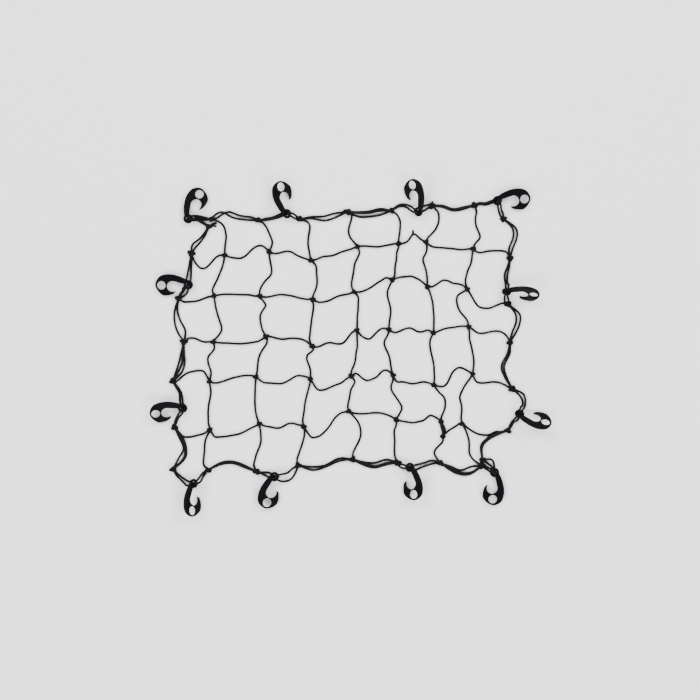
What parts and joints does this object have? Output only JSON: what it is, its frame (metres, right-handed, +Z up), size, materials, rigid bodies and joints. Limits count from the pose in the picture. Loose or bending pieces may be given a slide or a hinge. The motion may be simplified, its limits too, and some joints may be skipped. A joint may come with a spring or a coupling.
{
  "type": "cargo net",
  "caption": "Black elastic cargo net laid out flat, with knotted square meshes, a doubled border cord and open moulded hooks spaced around its edge.",
  "frame": {"origin": "middle of the laid-out net's outline, hooks included, on the surface that it lies on", "axes": "+X along the net's longer side, +Y along its shorter side towards its upper border, +Z up from the surface"},
  "size_m": [0.9194, 0.7721, 0.0449],
  "materials": {
    "cord": "black braided polyester sheath over rubber, matt with a slight sheen",
    "hook": "black moulded nylon, satin"
  },
  "bodies": {
    "root": {"net": "cord", "hook_01": "hook", "hook_02": "hook", "hook_03": "hook", "hook_04": "hook", "hook_05": "hook", "hook_06": "hook", "hook_07": "hook", "hook_08": "hook", "hook_09": "hook", "hook_10": "hook", "hook_11": "hook", "hook_12": "hook"}
  },
  "joints": []
}
